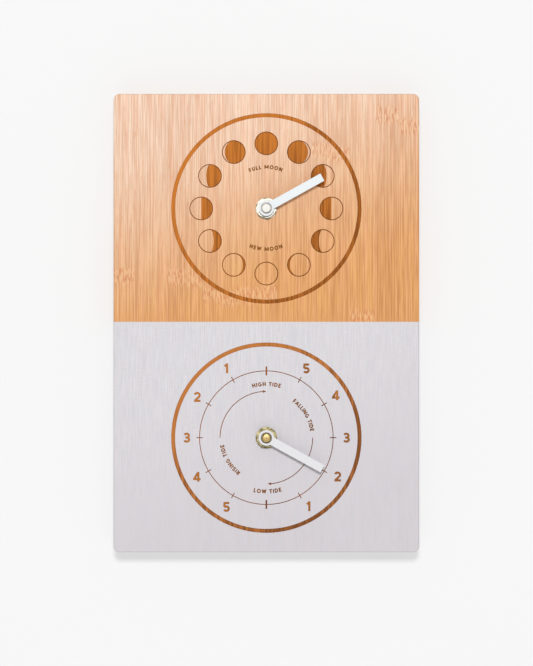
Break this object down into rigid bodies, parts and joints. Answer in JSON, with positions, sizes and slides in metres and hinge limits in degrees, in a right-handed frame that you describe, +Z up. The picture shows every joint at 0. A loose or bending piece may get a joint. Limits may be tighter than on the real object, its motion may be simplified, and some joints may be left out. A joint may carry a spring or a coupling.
{
  "type": "tide clock",
  "caption": "Wall clock for tide and moon: an upright bamboo board with an engraved moon dial over a tide dial, each with one white hand on its own quartz movement.",
  "frame": {"origin": "middle of the board's back face, where it lies against the wall", "axes": "+Z up along the board's height, +X to the viewer's right, -Y towards the viewer, out of the dials"},
  "size_m": [0.2, 0.0272, 0.3],
  "materials": {
    "bamboo": "oiled bamboo, laser engraved, the lower half painted pale grey",
    "hanger_steel": "zinc plated",
    "screw_steel": "zinc plated",
    "hand_white": "white lacquer",
    "brass": "polished",
    "brass_cap": "polished",
    "case_black": "moulded, fine texture",
    "rubber_black": "matte",
    "wheel_white": "moulded",
    "plate_grey": "moulded",
    "knob_grey": "moulded",
    "soft_iron": "stamped",
    "magnet": "sintered",
    "copper_wire": "enamelled copper",
    "bobbin_white": "moulded",
    "circuit_green": "solder mask",
    "crystal_can": "bright",
    "chip_black": "cast resin",
    "cell_wrap": "printed wrap, no lettering",
    "contact_nickel": "nickel plated spring sheet",
    "arbor_brass": "turned"
  },
  "bodies": {
    "clock": {"board": "bamboo", "hanger_plate": "hanger_steel", "hanger_screws": "screw_steel", "moon_washer": "brass", "moon_mounting_nut": "brass", "moon_rubber_gasket": "rubber_black", "moon_threaded_bush": "brass", "moon_front_case": "case_black", "moon_back_cover": "case_black", "moon_train_plate": "plate_grey", "moon_coil_core": "soft_iron", "moon_stator": "soft_iron", "moon_coil_bobbin": "bobbin_white", "moon_coil_winding": "copper_wire", "moon_circuit_board": "circuit_green", "moon_quartz_crystal": "crystal_can", "moon_control_chip": "chip_black", "moon_battery_contact_positive": "contact_nickel", "moon_battery_contact_negative": "contact_nickel", "tide_washer": "brass", "tide_mounting_nut": "brass", "tide_rubber_gasket": "rubber_black", "tide_threaded_bush": "brass", "tide_front_case": "case_black", "tide_back_cover": "case_black", "tide_train_plate": "plate_grey", "tide_coil_core": "soft_iron", "tide_stator": "soft_iron", "tide_coil_bobbin": "bobbin_white", "tide_coil_winding": "copper_wire", "tide_circuit_board": "circuit_green", "tide_quartz_crystal": "crystal_can", "tide_control_chip": "chip_black", "tide_battery_contact_positive": "contact_nickel", "tide_battery_contact_negative": "contact_nickel"},
    "moon_hand": {"moon_hand": "hand_white", "moon_hub_cap": "brass_cap", "moon_hour_wheel": "wheel_white"},
    "moon_centre_arbor": {"moon_centre_arbor": "arbor_brass"},
    "moon_setting": {"moon_reduction_wheel": "wheel_white", "moon_setting_knob": "knob_grey"},
    "moon_centre_wheel": {"moon_centre_wheel": "wheel_white"},
    "moon_third_wheel": {"moon_third_wheel": "wheel_white"},
    "moon_second_wheel": {"moon_second_wheel": "wheel_white"},
    "moon_intermediate_wheel": {"moon_intermediate_wheel": "wheel_white"},
    "moon_rotor": {"moon_rotor": "magnet"},
    "moon_battery": {"moon_battery": "cell_wrap"},
    "tide_hand": {"tide_hand": "hand_white", "tide_hub_cap": "brass_cap", "tide_hour_wheel": "wheel_white"},
    "tide_centre_arbor": {"tide_centre_arbor": "arbor_brass"},
    "tide_setting": {"tide_reduction_wheel": "wheel_white", "tide_setting_knob": "knob_grey"},
    "tide_centre_wheel": {"tide_centre_wheel": "wheel_white"},
    "tide_third_wheel": {"tide_third_wheel": "wheel_white"},
    "tide_second_wheel": {"tide_second_wheel": "wheel_white"},
    "tide_intermediate_wheel": {"tide_intermediate_wheel": "wheel_white"},
    "tide_rotor": {"tide_rotor": "magnet"},
    "tide_battery": {"tide_battery": "cell_wrap"}
  },
  "joints": [
    {"name": "moon_hand_turn", "type": "hinge", "parent": "clock", "child": "moon_hand", "pos_m": [0, 0, 0.075], "axis": [0, 1, 0], "continuous": true},
    {"name": "moon_centre_arbor_turn", "type": "hinge", "parent": "clock", "child": "moon_centre_arbor", "pos_m": [0, 0, 0.075], "axis": [0, 1, 0], "continuous": true},
    {"name": "moon_knob_turn", "type": "hinge", "parent": "clock", "child": "moon_setting", "pos_m": [-0.00935, 0, 0.0804], "axis": [0, 1, 0], "continuous": true},
    {"name": "moon_second_wheel_turn", "type": "hinge", "parent": "clock", "child": "moon_second_wheel", "pos_m": [0, 0, 0.075], "axis": [0, 1, 0], "continuous": true},
    {"name": "moon_third_wheel_turn", "type": "hinge", "parent": "clock", "child": "moon_third_wheel", "pos_m": [0.00909, 0, 0.08025], "axis": [0, 1, 0], "continuous": true},
    {"name": "moon_centre_wheel_turn", "type": "hinge", "parent": "clock", "child": "moon_centre_wheel", "pos_m": [0, 0, 0.075], "axis": [0, 1, 0], "continuous": true},
    {"name": "moon_intermediate_wheel_turn", "type": "hinge", "parent": "clock", "child": "moon_intermediate_wheel", "pos_m": [-0.00131, 0, 0.08245], "axis": [0, 1, 0], "continuous": true},
    {"name": "moon_rotor_turn", "type": "hinge", "parent": "clock", "child": "moon_rotor", "pos_m": [-0.00019, 0, 0.08883], "axis": [0, 1, 0], "continuous": true},
    {"name": "moon_battery_slide", "type": "slide", "parent": "clock", "child": "moon_battery", "axis": [0, 1, 0], "range_m": [0, 0.03]},
    {"name": "tide_hand_turn", "type": "hinge", "parent": "clock", "child": "tide_hand", "pos_m": [0, 0, -0.075], "axis": [0, 1, 0], "continuous": true},
    {"name": "tide_centre_arbor_turn", "type": "hinge", "parent": "clock", "child": "tide_centre_arbor", "pos_m": [0, 0, -0.075], "axis": [0, 1, 0], "continuous": true},
    {"name": "tide_knob_turn", "type": "hinge", "parent": "clock", "child": "tide_setting", "pos_m": [-0.00935, 0, -0.0696], "axis": [0, 1, 0], "continuous": true},
    {"name": "tide_second_wheel_turn", "type": "hinge", "parent": "clock", "child": "tide_second_wheel", "pos_m": [0, 0, -0.075], "axis": [0, 1, 0], "continuous": true},
    {"name": "tide_third_wheel_turn", "type": "hinge", "parent": "clock", "child": "tide_third_wheel", "pos_m": [0.00909, 0, -0.06975], "axis": [0, 1, 0], "continuous": true},
    {"name": "tide_centre_wheel_turn", "type": "hinge", "parent": "clock", "child": "tide_centre_wheel", "pos_m": [0, 0, -0.075], "axis": [0, 1, 0], "continuous": true},
    {"name": "tide_intermediate_wheel_turn", "type": "hinge", "parent": "clock", "child": "tide_intermediate_wheel", "pos_m": [-0.00131, 0, -0.06755], "axis": [0, 1, 0], "continuous": true},
    {"name": "tide_rotor_turn", "type": "hinge", "parent": "clock", "child": "tide_rotor", "pos_m": [-0.00019, 0, -0.06117], "axis": [0, 1, 0], "continuous": true},
    {"name": "tide_battery_slide", "type": "slide", "parent": "clock", "child": "tide_battery", "axis": [0, 1, 0], "range_m": [0, 0.03]}
  ],
  "couplings": [
    {"joint": "moon_knob_turn", "follows": "moon_hand_turn", "ratio": -4},
    {"joint": "moon_centre_arbor_turn", "follows": "moon_hand_turn", "ratio": 12},
    {"joint": "moon_third_wheel_turn", "follows": "moon_second_wheel_turn", "ratio": -0.16667},
    {"joint": "moon_centre_wheel_turn", "follows": "moon_second_wheel_turn", "ratio": 0.027778},
    {"joint": "moon_intermediate_wheel_turn", "follows": "moon_second_wheel_turn", "ratio": -5},
    {"joint": "moon_rotor_turn", "follows": "moon_second_wheel_turn", "ratio": 25},
    {"joint": "tide_knob_turn", "follows": "tide_hand_turn", "ratio": -4},
    {"joint": "tide_centre_arbor_turn", "follows": "tide_hand_turn", "ratio": 12},
    {"joint": "tide_third_wheel_turn", "follows": "tide_second_wheel_turn", "ratio": -0.16667},
    {"joint": "tide_centre_wheel_turn", "follows": "tide_second_wheel_turn", "ratio": 0.027778},
    {"joint": "tide_intermediate_wheel_turn", "follows": "tide_second_wheel_turn", "ratio": -5},
    {"joint": "tide_rotor_turn", "follows": "tide_second_wheel_turn", "ratio": 25}
  ]
}
